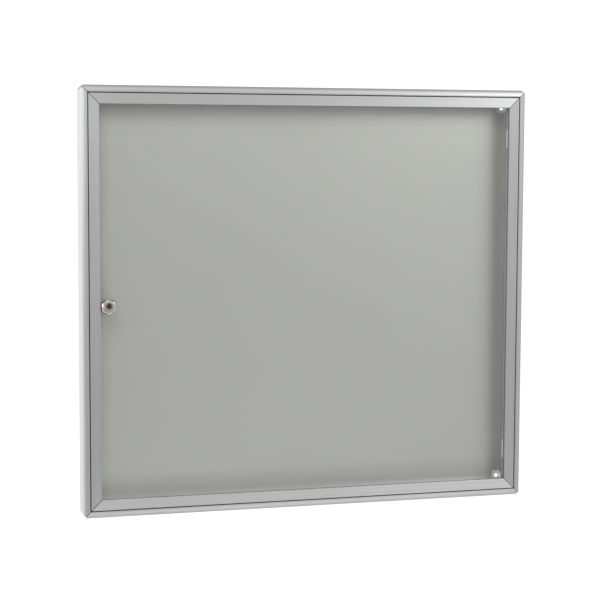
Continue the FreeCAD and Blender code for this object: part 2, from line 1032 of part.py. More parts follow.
dstile = door_stile()
drail = door_rail()
node("door_rail_top", drail)
node("door_rail_bottom", mirror("door_rail_bottom", drail, MZ))
node("door_stile_left", mirror("door_stile_left", dstile, MX))

# The right stile is cut away behind its face at each hinge, and the door leaf is
# let into its back.
px = dw - P.pivot_in  # hinge axis, across
leaf_x = hw + 3.4  # screws of the door leaf
tools = []
for n, sz in (("u", 1), ("d", -1)):
    zc = P.hinge_z * sz
    hz = P.hinge_half
    tools.append(
        box(
            "notch_" + n,
            px - P.knuckle_rad - 0.3,
            dw + 1,
            Y(P.wall_t),
            Y(P.door_t + 1),
            zc - hz - 0.6,
            zc + hz + 0.6,
        )
    )
    tools.append(
        box(
            "let_in_" + n,
            hw - 0.5,
            px,
            Y(P.door_t - 1.0),
            Y(P.door_t + 1),
            zc - hz,
            zc + hz,
        )
    )
    for k, dz in (("a", 7), ("b", -7)):
        tools.append(
            cyl("leaf_hole_%s%s" % (n, k), "y", leaf_x, Y(8.0), zc + dz, 1.12, 5)
        )
node("door_stile_right", cut("door_stile_right", dstile, group("stile_cuts", tools)))


def door_key():
    b = doc.addObject("PartDesign::Body", "door_corner_key_tr")
    s = sketch(b, "door_key_plan", "XZ_Plane", F(P.wall_t + 0.3))
    a = P.wall_t + 0.3
    i = P.inner_w + 0.3
    leg = 40
    loop(
        s,
        [
            (dw - leg, dh - a),
            (dw - a, dh - a),
            (dw - a, dh - leg),
            (hw + i, dh - leg),
            (hw + i, hh + i),
            (dw - leg, hh + i),
        ],
    )
    pad(b, "door_key_legs", s, P.edge_t - P.wall_t * 2 - 0.6, True)
    return b


dk = door_key()
node("door_corner_key_tr", dk)
dk_br = mirror("door_corner_key_br", dk, MZ)
dk_tl = mirror("door_corner_key_tl", dk, MX)
dk_bl = mirror("door_corner_key_bl", dk_tl, MZ)
for o in (dk_br, dk_tl, dk_bl):
    node(o.Name, o)

# ---------------------------------------------------------------- glazing
pw, ph = hw + P.slot_dep - P.gask_t, hh + P.slot_dep - P.gask_t
pane_v = P.lip_t + P.gask_t
pane_box = box("pane_sheet", -pw, pw, Y(pane_v), Y(pane_v + P.pane_t), -ph, ph)
pane_hole = cyl(
    "pane_lock_hole",
    "y",
    P.lock_x,
    Y(pane_v - 1),
    P.lock_z,
    P.barrel_rad + 0.3,
    P.pane_t + 2,
)
node("pane", cut("pane", pane_box, pane_hole))

gi, gj = hw - P.gask_lip, hh - P.gask_lip
gask_pane = box(
    "gasket_pane_space",
    -pw,
    pw,
    Y(pane_v),
    Y(pane_v + P.pane_t),
    -ph,
    ph,
)
gx = cut(
    "glazing_gasket_right",
    box(
        "gasket_x_bar",
        gi,
        hw + P.slot_dep,
        Y(P.lip_t),
        Y(P.lip_t + P.slot_w),
        -gj,
        gj,
    ),
    gask_pane,
)
gz = cut(
    "glazing_gasket_top",
    box(
        "gasket_z_bar",
        -hw - P.slot_dep,
        hw + P.slot_dep,
        Y(P.lip_t),
        Y(P.lip_t + P.slot_w),
        gj,
        hh + P.slot_dep,
    ),
    gask_pane,
)
node("glazing_gasket_right", gx)
node("glazing_gasket_left", mirror("glazing_gasket_left", gx, MX))
node("glazing_gasket_top", gz)
node("glazing_gasket_bottom", mirror("glazing_gasket_bottom", gz, MZ))

# ---------------------------------------------------------------- hinges
# Concealed pivot hinges. The case leaf stands on the ledge with one knuckle that
# reaches forward into the hollow right stile. The door leaf has an ear above and
# below that knuckle. A pin runs through all three.


def door_leaf(zc):
    t = "dl_%s" % ("u" if zc.val > 0 else "d")
    hz, kh = P.hinge_half, P.knuckle_half
    z0, z1 = zc - hz, zc + hz
    x_in = hw - 0.8
    parts = [
        box(t + "_return", x_in, hw, Y(7.3), Y(P.door_t), z0, z1),
        box(
            t + "_plate",
            x_in,
            px - P.knuckle_rad - 0.3,
            Y(P.door_t - 1.0),
            Y(P.door_t),
            z0,
            z1,
        ),
    ]
    for k, a, b in (("a", zc + kh + 0.3, z1), ("b", z0, zc - kh - 0.3)):
        parts.append(
            box(
                t + "_arm" + k,
                px - P.knuckle_rad - 0.3,
                px + P.knuckle_rad,
                Y(P.door_t - 1.0),
                Y(P.door_t),
                a,
                b,
            )
        )
        parts.append(
            box(
                t + "_ear" + k,
                px - P.knuckle_rad,
                px + P.knuckle_rad,
                Y(P.pivot_v),
                Y(P.door_t),
                a,
                b,
            )
        )
        parts.append(
            cyl(t + "_eye" + k, "z", px, Y(P.pivot_v), a, P.knuckle_rad, b - a)
        )
    f = fuse(t + "_raw", parts)
    holes = [
        cyl(t + "_bore", "z", px, Y(P.pivot_v), z0 - 1, P.pin_rad + 0.02, hz * 2 + 2)
    ]
    for k, dz in (("a", 7), ("b", -7)):
        holes += csk(t + "_seat" + k, leaf_x, Y(P.door_t), zc + dz, 2.2, 1.12, 1.0, 2.0)
    return cut(t, f, group(t + "_holes", holes))


def case_leaf(zc):
    t = "cl_%s" % ("u" if zc.val > 0 else "d")
    hz, kh = P.hinge_half, P.knuckle_half
    lv = P.ledge_d - 1.4
    parts = [
        box(
            t + "_plate",
            iw + 3.5,
            rw - 0.3,
            Y(lv),
            Y(P.ledge_d),
            zc - hz,
            zc + hz,
        ),
        box(
            t + "_neck",
            px - 1.2,
            px + 1.2,
            Y(P.pivot_v),
            Y(lv + 0.5),
            zc - kh,
            zc + kh,
        ),
        cyl(t + "_knuckle", "z", px, Y(P.pivot_v), zc - kh, P.knuckle_rad, kh * 2),
    ]
    f = fuse(t + "_raw", parts)
    holes = [
        cyl(t + "_bore", "z", px, Y(P.pivot_v), zc - hz, P.pin_rad + 0.05, hz * 2)
    ]
    for k, dz in (("a", 9), ("b", -9)):
        holes += csk(
            t + "_seat" + k, hinge_screw_x, Y(lv), zc + dz, 2.45, 1.42, 1.1, 2.0, 1
        )
    return cut(t, f, group(t + "_holes", holes))


for tag, sz in (("upper", 1), ("lower", -1)):
    zc = P.hinge_z * sz
    node("hinge_door_leaf_" + tag, door_leaf(zc))
    node("hinge_case_leaf_" + tag, case_leaf(zc))
    hz = P.hinge_half
    pin = fuse(
        "pin_" + tag,
        [
            cyl("pin_%s_bar" % tag, "z", px, Y(P.pivot_v), zc - hz, P.pin_rad, hz * 2),
            cone(
                "pin_%s_tip" % tag,
                "z",
                px,
                Y(P.pivot_v),
                zc - hz - 0.4,
                P.pin_rad - 0.4,
                P.pin_rad,
                0.4,
            ),
            cone(
                "pin_%s_top" % tag,
                "z",
                px,
                Y(P.pivot_v),
                zc + hz,
                P.pin_rad,
                P.pin_rad - 0.4,
                0.4,
            ),
        ],
    )
    node("hinge_pin_" + tag, pin)

ds, cs = [], []
for n, sz in (("u", 1), ("d", -1)):
    zc = P.hinge_z * sz
    for k, dz in (("a", 7), ("b", -7)):
        ds.append(
            screw("ds_%s%s" % (n, k), leaf_x, Y(P.door_t), zc + dz, 2.15, 1.1, 1.0, 3.8)
        )
    for k, dz in (("a", 9), ("b", -9)):
        cs.append(
            screw(
                "cs_%s%s" % (n, k),
                hinge_screw_x,
                Y(P.ledge_d - 1.4),
                zc + dz,
                2.4,
                1.4,
                1.1,
                6.0,
                1,
            )
        )
node("hinge_door_screws", group("hinge_door_screws", ds))
node("hinge_case_screws", group("hinge_case_screws", cs))

# ---------------------------------------------------------------- lock
# A barrel through the pane, clamped by a six-sided nut in front. Behind the pane
# sits a bolt case. Turning the plug a quarter turn throws the bolt 6.5 mm to the
# left, into the slot of the left stile. It is shown unlocked.
lx, lz = P.lock_x, P.lock_z
pz = lz + P.plug_up
travel = P.drive_rad * 1.41421356


def hex_nut():
    b = doc.addObject("PartDesign::Body", "lock_nut_bar")
    s = sketch(b, "lock_nut_plan", "XZ_Plane", F(P.lip_t))
    af = 21.0
    rc = af / math.sqrt(3)
    pts = []
    for k in range(6):
        t = math.radians(96 + 60 * k)
        pts.append((lx + rc * math.cos(t), lz + rc * math.sin(t)))
    loop(s, pts)
    circle(s, lx, lz, P.barrel_rad + 0.1)
    pad(b, "lock_nut_run", s, 4.6)
    return b


nut_bar = hex_nut()
# the nut's front corners are turned off to a cone
nut_turn = cone(
    "lock_nut_cone", "y", lx, Y(P.lip_t - 4.6 - 0.4), lz, 8.8, 8.8 + 5.6, 5.6
)
node("lock_nut", common("lock_nut", nut_bar, nut_turn))
node(
    "lock_washer_front",
    cut(
        "lock_washer_front",
        cyl("lwf_disc", "y", lx, Y(P.lip_t), lz, 11.3, P.gask_t),
        cyl("lwf_hole", "y", lx, Y(P.lip_t - 1), lz, P.barrel_rad + 0.1, 3),
    ),
)
node(
    "lock_washer_back",
    cut(
        "lock_washer_back",
        cyl("lwb_disc", "y", lx, Y(pane_v + P.pane_t), lz, 9.7, P.gask_t),
        cyl("lwb_hole", "y", lx, Y(pane_v + P.pane_t - 1), lz, P.barrel_rad + 0.1, 3),
    ),
)

face_v = -3.4  # front of the barrel
barrel_end = 13.2


def barrel():
    b = doc.addObject("PartDesign::Body", "lock_barrel_bar")
    s = sketch(b, "lock_barrel_plan", "XZ_Plane", F(face_v))
    circle(s, lx, lz, P.barrel_rad)
    pad(b, "lock_barrel_run", s, barrel_end - face_v, True)
    return b


bar = barrel()
# front edge turned to a small cone, and the bore of the plug above the centre
bar_round = common(
    "lock_barrel_turned",
    bar,
    fuse(
        "lock_barrel_form",
        [
            cone(
                "lbf_cone",
                "y",
                lx,
                Y(face_v),
                lz,
                P.barrel_rad - 0.7,
                P.barrel_rad + 0.5,
                1.2,
            ),
            cyl("lbf_rest", "y", lx, Y(face_v + 1.2), lz, P.barrel_rad + 0.5, 20),
        ],
    ),
)
node(
    "lock_barrel",
    cut(
        "lock_barrel",
        bar_round,
        cyl("lock_barrel_bore", "y", lx, Y(face_v - 1), pz, P.plug_rad + 0.05, 20),
    ),
)

case_l, case_r = lx - 12.4, lx + 11.2
case_b, case_t = lz - 9.8, lz + 9.8
case_f, case_k = pane_v + P.pane_t + P.gask_t, 19.4
chan_b, chan_t = lz - 4.9, lz + 8.9
disc_v0, disc_v1 = 13.3, 16.2
bolt_v = 16.6


def bolt_case():
    b = doc.addObject("PartDesign::Body", "lock_case")
    s = sketch(b, "lock_case_plan", "XZ_Plane", F(case_f))
    loop(s, [(case_l, case_b), (case_r, case_b), (case_r, case_t), (case_l, case_t)])
    pad(b, "lock_case_block", s, case_k - case_f, True)
    # channel of the bolt, open to the back and to the left
    c = sketch(b, "lock_case_channel_plan", "XZ_Plane", F(case_k + 1))
    loop(
        c,
        [
            (case_l - 1, chan_b),
            (case_r - 1.5, chan_b),
            (case_r - 1.5, chan_t),
            (case_l - 1, chan_t),
        ],
    )
    pocket(b, "lock_case_channel", c, q(case_k) + 1 - (bolt_v - 0.3), True)
    # room for the plug's disc
    d = sketch(b, "lock_case_disc_plan", "XZ_Plane", F(case_k + 1))
    circle(d, lx, pz, 6.7)
    pocket(b, "lock_case_disc", d, q(case_k) + 1 - (disc_v0 - 0.3), True)
    # bore of the barrel
    e = sketch(b, "lock_case_bore_plan", "XZ_Plane", F(case_f - 1))
    circle(e, lx, lz, P.barrel_rad + 0.02)
    pocket(b, "lock_case_bore", e, q(barrel_end) + 1 - case_f)
    # tapped holes of the cover
    g = sketch(b, "lock_case_tap_plan", "XZ_Plane", F(case_k + 1))
    circle(g, case_l + 3.0, case_b + 2.4, 0.92)
    circle(g, case_r - 3.0, case_b + 2.4, 0.92)
    pocket(b, "lock_case_taps", g, 6, True)
    return b


node("lock_case", bolt_case())


def cover():
    b = doc.addObject("PartDesign::Body", "lock_cover_plate")
    s = sketch(b, "lock_cover_plan", "XZ_Plane", F(case_k))
    loop(s, [(case_l, case_b), (case_r, case_b), (case_r, case_t), (case_l, case_t)])
    pad(b, "lock_cover_run", s, 0.9, True)
    return b


cov = cover()
cov_seats = []
cov_screws = []
for k, x in (("a", case_l + 3.0), ("b", case_r - 3.0)):
    cov_seats += csk(
        "cov_seat_" + k, x, Y(case_k + 0.9), case_b + 2.4, 1.85, 0.92, 0.8, 2.0
    )
    cov_screws.append(
        screw("cov_screw_" + k, x, Y(case_k + 0.9), case_b + 2.4, 1.8, 0.9, 0.8, 4.4)
    )
node("lock_cover", cut("lock_cover", cov, group("cov_seats", cov_seats)))
node("lock_cover_screws", group("lock_cover_screws", cov_screws))

# plug with keyway, disc and eccentric drive pin
s45 = 0.70710678
plug_parts = [
    cyl(
        "plug_stem", "y", lx, Y(face_v + 1.4), pz, P.plug_rad, disc_v0 - face_v - 1.4
    ),
    cyl("plug_disc", "y", lx, Y(disc_v0), pz, 6.2, disc_v1 - disc_v0),
    cyl(
        "plug_drive",
        "y",
        lx + P.drive_rad * s45,
        Y(disc_v1 - 0.5),
        pz + P.drive_rad * s45,
        1.2,
        2.9,
    ),
]
keyway = fuse(
    "keyway",
    [
        box("keyway_slot", lx - 0.55, lx + 0.55, Y(face_v), Y(5.0), pz - 3.1, pz + 3.1),
        box("keyway_ward", lx - 0.2, lx + 1.3, Y(face_v), Y(5.0), pz - 0.9, pz + 0.4),
    ],
)
plug = cut("lock_plug", fuse("plug_raw", plug_parts), keyway)
node("lock_plug", plug)


def bolt():
    b = doc.addObject("PartDesign::Body", "lock_bolt")
    s = sketch(b, "lock_bolt_plan", "XZ_Plane", F(bolt_v))
    x1 = lx + 8.3
    x0 = -iw + 1.3
    z0, z1 = lz - 4.5, lz + 8.5
    loop(
        s,
        [
            (x0, z0 + 1.5),
            (x0 + 1.5, z0),
            (x1, z0),
            (x1, z1),
            (x0 + 1.5, z1),
            (x0, z1 - 1.5),
        ],
    )
    # upright slot for the drive pin
    sx0 = lx + P.drive_rad * s45 - 1.5
    sx1 = lx + P.drive_rad * s45 + 1.5
    loop(
        s,
        [
            (sx0, pz + P.drive_rad * s45 - 1.6),
            (sx1, pz + P.drive_rad * s45 - 1.6),
            (sx1, pz + P.drive_rad + 1.6),
            (sx0, pz + P.drive_rad + 1.6),
        ],
    )
    pad(b, "lock_bolt_run", s, P.bolt_t, True)
    return b


node("lock_bolt", bolt())

# ---------------------------------------------------------------- check and write
doc.recompute()
bad = []
for o in doc.Objects:
    if "Invalid" in o.State or "Error" in o.State:
        bad.append("%s %s" % (o.Name, o.State))
for name, o in made.items():
    sh = o.Shape
    if sh.isNull() or not sh.isValid() or not sh.Solids:
        bad.append(name + " shape")
if bad:
    raise RuntimeError("failed: " + "; ".join(bad))
os.makedirs("parts", exist_ok=True)
for name, o in sorted(made.items()):
    o.Shape.exportStep("parts/%s.step" % name)
    bb = o.Shape.BoundBox
    print(
        "%-24s solids %2d  vol %10.1f  x %8.2f %8.2f  y %7.2f %7.2f  z %8.2f %8.2f"
        % (
            name,
            len(o.Shape.Solids),
            o.Shape.Volume,
            bb.XMin,
            bb.XMax,
            bb.YMin,
            bb.YMax,
            bb.ZMin,
            bb.ZMax,
        )
    )
print(len(made), "nodes; hinge axis x %.3f y %.3f; plug axis x %.2f z %.2f; bolt travel %.3f" % (
    px.val, Y(P.pivot_v).val, lx.val, pz.val, travel.val))
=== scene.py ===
"""Lockable notice board, 727 x 667 mm: looks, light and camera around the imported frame.

Row frame: X right, Y into the wall, Z up, metres; origin in the middle of the four
wall holes, on the back face of the back panel.
"""

import json
import math

import bmesh
import bpy
from mathutils import Matrix, Vector

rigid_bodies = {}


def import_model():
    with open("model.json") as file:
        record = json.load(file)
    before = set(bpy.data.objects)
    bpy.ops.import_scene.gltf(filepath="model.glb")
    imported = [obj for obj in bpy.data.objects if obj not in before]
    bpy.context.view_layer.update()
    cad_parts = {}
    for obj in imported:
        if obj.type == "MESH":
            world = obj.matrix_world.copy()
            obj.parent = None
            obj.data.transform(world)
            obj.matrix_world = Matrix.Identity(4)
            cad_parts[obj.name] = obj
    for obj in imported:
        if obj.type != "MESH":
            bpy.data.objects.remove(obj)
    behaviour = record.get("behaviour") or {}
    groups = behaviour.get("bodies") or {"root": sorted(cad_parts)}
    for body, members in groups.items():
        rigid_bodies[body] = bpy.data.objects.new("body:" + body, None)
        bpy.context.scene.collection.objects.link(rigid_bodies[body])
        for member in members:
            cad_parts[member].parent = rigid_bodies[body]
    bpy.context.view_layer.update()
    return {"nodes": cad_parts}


for old in list(bpy.data.objects):
    bpy.data.objects.remove(old)

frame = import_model()
nodes = frame["nodes"]


# ---------------------------------------------------------------- shader helpers
class Mat:
    """A material with one Principled shader and short calls for its pattern nodes."""

    def __init__(self, name, **values):
        self.m = bpy.data.materials.new(name)
        self.m.use_nodes = True
        self.nt = self.m.node_tree
        self.nt.nodes.clear()
        self.out = self.nt.nodes.new("ShaderNodeOutputMaterial")
        self.b = self.nt.nodes.new("ShaderNodeBsdfPrincipled")
        self.nt.links.new(self.b.outputs[0], self.out.inputs["Surface"])
        for k, v in values.items():
            self.b.inputs[k.replace("_", " ")].default_value = v
        self.tc = self.nt.nodes.new("ShaderNodeTexCoord")

    def link(self, a, b):
        self.nt.links.new(a, b)

    def coords(self, scale=(1, 1, 1), turn=(0, 0, 0), move=(0, 0, 0)):
        n = self.nt.nodes.new("ShaderNodeMapping")
        n.inputs["Scale"].default_value = scale
        n.inputs["Rotation"].default_value = turn
        n.inputs["Location"].default_value = move
        self.link(self.tc.outputs["Object"], n.inputs["Vector"])
        return n.outputs[0]

    def noise(self, vec, scale=1.0, detail=3.0, rough=0.5, distort=0.0):
        n = self.nt.nodes.new("ShaderNodeTexNoise")
        n.inputs["Scale"].default_value = scale
        n.inputs["Detail"].default_value = detail
        n.inputs["Roughness"].default_value = rough
        n.inputs["Distortion"].default_value = distort
        self.link(vec, n.inputs["Vector"])
        return n.outputs["Fac"]

    def cells(self, vec, scale=1.0, feature="F1", output="Color", jitter=1.0):
        n = self.nt.nodes.new("ShaderNodeTexVoronoi")
        n.feature = feature
        n.inputs["Scale"].default_value = scale
        n.inputs["Randomness"].default_value = jitter
        self.link(vec, n.inputs["Vector"])
        return n.outputs[output]

    def ramp(self, fac, stops, smooth=False):
        n = self.nt.nodes.new("ShaderNodeValToRGB")
        r = n.color_ramp
        r.interpolation = "EASE" if smooth else "LINEAR"
        while len(r.elements) < len(stops):
            r.elements.new(1.0)
        for e, (pos, c) in zip(r.elements, stops):
            e.position = pos
            e.color = (c, c, c, 1) if isinstance(c, (int, float)) else (*c, 1)
        self.link(fac, n.inputs["Fac"])
        return n.outputs["Color"]

    def mix(self, fac, a, b, mode="MIX"):
        n = self.nt.nodes.new("ShaderNodeMix")
        n.data_type = "RGBA"
        n.blend_type = mode
        n.clamp_factor = True
        for s, v in ((n.inputs[0], fac), (n.inputs[6], a), (n.inputs[7], b)):
            if isinstance(v, bpy.types.NodeSocket):
                self.link(v, s)
            elif isinstance(v, tuple):
                s.default_value = (*v, 1)
            else:
                s.default_value = v
        return n.outputs[2]

    def math(self, op, a, b=0.0):
        n = self.nt.nodes.new("ShaderNodeMath")
        n.operation = op
        for s, v in ((n.inputs[0], a), (n.inputs[1], b)):
            if isinstance(v, bpy.types.NodeSocket):
                self.link(v, s)
            else:
                s.default_value = v
        return n.outputs[0]

    def bump(self, height, strength=0.3, distance=0.0001, after=None):
        n = self.nt.nodes.new("ShaderNodeBump")
        n.inputs["Strength"].default_value = strength
        n.inputs["Distance"].default_value = distance
        self.link(height, n.inputs["Height"])
        if after is not None:
            self.link(after, n.inputs["Normal"])
        return n.outputs["Normal"]

    def set(self, **sockets):
        for k, v in sockets.items():
            self.link(v, self.b.inputs[k.replace("_", " ")])
        return self.m

    def edge(self, width):
        """Geometry pointiness, for wear along edges: 0 on flats, 1 on edges."""
        g = self.nt.nodes.new("ShaderNodeNewGeometry")
        return self.ramp(g.outputs["Pointiness"], [(0.5, 0.0), (0.5 + width, 1.0)])


def anodised(name, along, mitred=False):
    """Satin anodised aluminium: extrusion lines along the bar and a fine grain. Its
    shine is wider across the lines than along them."""
    m = Mat(name, Metallic=1.0, Anisotropic=0.7)
    around_bar = m.nt.nodes.new("ShaderNodeTangent")
    around_bar.direction_type = "RADIAL"
    around_bar.axis = along.upper()
    m.link(around_bar.outputs[0], m.b.inputs["Tangent"])
    a = {"x": (2.5, 700, 700), "z": (700, 700, 2.5)}[along]
    fine = {"x": (22, 3600, 3600), "z": (3600, 3600, 22)}[along]
    lines = m.noise(m.coords(a), 1.0, 2.0, 0.6)
    grain = m.noise(m.coords(fine, move=(3, 1, 2)), 1.0, 2.0, 0.55)
    cloud = m.noise(m.coords((9, 9, 9)), 1.0, 2.0, 0.5)
    tone = m.mix(0.35, m.ramp(lines, [(0.3, 0.0), (0.7, 1.0)]), cloud)
    tone = m.mix(0.3, tone, grain)
    colour = m.ramp(tone, [(0.15, ALU_DARK), (0.85, ALU_LIGHT)])
    rough = m.ramp(m.mix(0.5, grain, cloud), [(0.2, ALU_ROUGH - 0.03), (0.8, ALU_ROUGH + 0.04)])
    normal = m.bump(grain, 0.25, 0.00002)
    normal = m.bump(lines, 0.3, 0.00003, normal)
    if mitred:
        # the mitres get a dull, dark line: partly the joint's own sawn edges, partly painted shade of the hairline
        # gap between the bars; both frames' mitres lie where
        # |x| - |z| is 30 mm
        sep = m.nt.nodes.new("ShaderNodeSeparateXYZ")
        m.link(m.tc.outputs["Object"], sep.inputs[0])
        off = m.math("SUBTRACT", m.math("ABSOLUTE", sep.outputs["X"]), m.math("ABSOLUTE", sep.outputs["Z"]))
        off = m.math("ABSOLUTE", m.math("SUBTRACT", off, 0.030))
        off = m.math("MULTIPLY", off, 1000.0 / math.sqrt(2.0))
        joint = m.ramp(off, [(0.30, 1.0), (0.62, 0.0)])
        if along == "z":
            # painted shade: the case's inner side walls, behind the door's ledge, get a darker colour that stands for
            # shade inside the case
            behind = m.math("GREATER_THAN", sep.outputs["Y"], -0.0192)
            side_wall_shade_mask = m.math("LESS_THAN", m.math("ABSOLUTE", sep.outputs["X"]), 0.350)
            colour = m.mix(m.math("MULTIPLY", behind, side_wall_shade_mask), colour, (0.78, 0.76, 0.79), "MULTIPLY")
        colour = m.mix(joint, colour, (0.16, 0.16, 0.165))
        rough = m.mix(joint, rough, (0.65, 0.65, 0.65))
    return m.set(Base_Color=colour, Roughness=rough, Normal=normal)


ALU_DARK = (0.560, 0.565, 0.563)
ALU_LIGHT = (0.650, 0.655, 0.653)
ALU_ROUGH = 0.44


def enamel():
    """Silver-grey stoved coating on sheet steel: faint orange peel and soft mottling."""
    m = Mat("board_panel_enamel", Metallic=0.75, IOR=1.45)
    cloud = m.noise(m.coords((5, 5, 5)), 1.0, 3.0, 0.5)
    peel = m.noise(m.coords((1, 1, 1)), 620.0, 2.0, 0.5)
    fleck = m.noise(m.coords((1, 1, 1), move=(0.3, 0.1, 0.7)), 2400.0, 1.0, 0.5)
    tone = m.mix(0.3, m.mix(0.45, cloud, peel), fleck)
    colour = m.ramp(tone, [(0.25, (0.582, 0.580, 0.551)), (0.75, (0.620, 0.618, 0.590))])
    rough = m.ramp(m.mix(0.5, peel, fleck), [(0.25, 0.36), (0.75, 0.46)])
    return m.set(Base_Color=colour, Roughness=rough, Normal=m.bump(peel, 0.2, 0.00006))


def zinc_plated(name, dark, light, grain=900.0, low=0.32, high=0.48, spangle=0.0, metal=1.0):
    """Plated or galvanised steel: small crystals, cloudy shine."""
    m = Mat(name, Metallic=metal)
    cell = m.ramp(m.cells(m.coords(), grain), [(0.1, 0.0), (0.9, 1.0)])
    cloud = m.noise(m.coords((60, 60, 60)), 1.0, 3.0, 0.55)
    tone = m.mix(spangle, cloud, cell)
    colour = m.ramp(tone, [(0.2, dark), (0.8, light)])
    rough = m.ramp(tone, [(0.2, high), (0.8, low)])
    fine = m.noise(m.coords(), 5200.0, 2.0, 0.5)
    return m.set(Base_Color=colour, Roughness=rough, Normal=m.bump(fine, 0.25, 0.00002))


def cast(name, dark, light, low, high, pits=900.0):
    """Die-cast metal: slightly grained skin, cloudy tone."""
    m = Mat(name, Metallic=1.0)
    skin = m.noise(m.coords(), pits, 3.0, 0.6)
    cloud = m.noise(m.coords((45, 45, 45), move=(1, 2, 3)), 1.0, 3.0, 0.5)
    colour = m.ramp(m.mix(0.4, cloud, skin), [(0.25, dark), (0.75, light)])
    rough = m.ramp(skin, [(0.25, low), (0.75, high)])
    return m.set(Base_Color=colour, Roughness=rough, Normal=m.bump(skin, 0.35, 0.00004))


def turned(name, dark, light, centre, low=0.2, high=0.34, lines=1500.0):
    """Turned and nickel-plated brass: fine rings about the axis in Y, small scuffs."""
    m = Mat(name, Metallic=1.0)
    x, z = centre
    vec = m.coords((1, 0.0, 1), move=(-x, 0, -z))
    wave = m.nt.nodes.new("ShaderNodeTexWave")
    wave.wave_type = "RINGS"
    wave.rings_direction = "SPHERICAL"
    wave.inputs["Scale"].default_value = lines
    wave.inputs["Distortion"].default_value = 1.5
    wave.inputs["Detail"].default_value = 2.0
    m.link(vec, wave.inputs["Vector"])
    scuff = m.noise(m.coords((1, 1, 1), turn=(0.3, 0.8, 0.2)), 1300.0, 4.0, 0.65, 0.6)
    cloud = m.noise(m.coords(move=(0.5, 0.2, 0.1)), 240.0, 2.0, 0.5)
    colour = m.ramp(m.mix(0.4, cloud, scuff), [(0.2, dark), (0.8, light)])
    rough = m.ramp(m.mix(0.4, scuff, cloud), [(0.25, low), (0.75, high)])
    normal = m.bump(wave.outputs["Fac"], 0.12, 0.00002)
    return m.set(Base_Color=colour, Roughness=rough, Normal=m.bump(scuff, 0.2, 0.00002, normal))


def rubber(name, dark, light, low=0.6, high=0.8):
    """Moulded or drawn rubber: matt, fine grain, slight bloom."""
    m = Mat(name, Metallic=0.0, IOR=1.5)
    grain = m.noise(m.coords(), 2600.0, 3.0, 0.6)
    bloom = m.noise(m.coords((30, 30, 30)), 1.0, 3.0, 0.6)
    colour = m.ramp(m.mix(0.3, bloom, grain), [(0.25, dark), (0.75, light)])
    rough = m.ramp(grain, [(0.2, low), (0.8, high)])
    return m.set(Base_Color=colour, Roughness=rough, Normal=m.bump(grain, 0.35, 0.00004))


def clear_pane():
    """Clear pane: see-through, with a mirror share by angle on the faces towards the eye
    that stands for both faces. A faint unevenness keeps its shine from being dead flat."""
    m = bpy.data.materials.new("board_clear_pane")
    m.use_nodes = True
    nt = m.node_tree
    nt.nodes.clear()
    out = nt.nodes.new("ShaderNodeOutputMaterial")
    mix = nt.nodes.new("ShaderNodeMixShader")
    clear = nt.nodes.new("ShaderNodeBsdfTransparent")
    clear.inputs["Color"].default_value = (0.985, 0.99, 0.985, 1)
    gloss = nt.nodes.new("ShaderNodeBsdfGlossy")
    gloss.inputs["Color"].default_value = (0.97, 0.98, 0.98, 1)
    fres = nt.nodes.new("ShaderNodeFresnel")
    fres.inputs["IOR"].default_value = 1.62
    geo = nt.nodes.new("ShaderNodeNewGeometry")
    front = nt.nodes.new("ShaderNodeMath")
    front.operation = "SUBTRACT"
    front.inputs[0].default_value = 1.0
    share = nt.nodes.new("ShaderNodeMath")
    share.operation = "MULTIPLY"
    tc = nt.nodes.new("ShaderNodeTexCoord")
    ripple = nt.nodes.new("ShaderNodeTexNoise")
    ripple.inputs["Scale"].default_value = 7.0
    ripple.inputs["Detail"].default_value = 2.0
    film = nt.nodes.new("ShaderNodeValToRGB")
    film.color_ramp.elements[0].position = 0.3
    film.color_ramp.elements[0].color = (0.03, 0.03, 0.03, 1)
    film.color_ramp.elements[1].position = 0.7
    film.color_ramp.elements[1].color = (0.06, 0.06, 0.06, 1)
    link = nt.links.new
    link(tc.outputs["Object"], ripple.inputs["Vector"])
    link(ripple.outputs["Fac"], film.inputs["Fac"])
    link(film.outputs["Color"], gloss.inputs["Roughness"])
    link(geo.outputs["Backfacing"], front.inputs[1])
    link(fres.outputs["Fac"], share.inputs[0])
    link(front.outputs[0], share.inputs[1])
    link(share.outputs[0], mix.inputs["Fac"])
    link(clear.outputs[0], mix.inputs[1])
    link(gloss.outputs[0], mix.inputs[2])
    link(mix.outputs[0], out.inputs["Surface"])
    return m


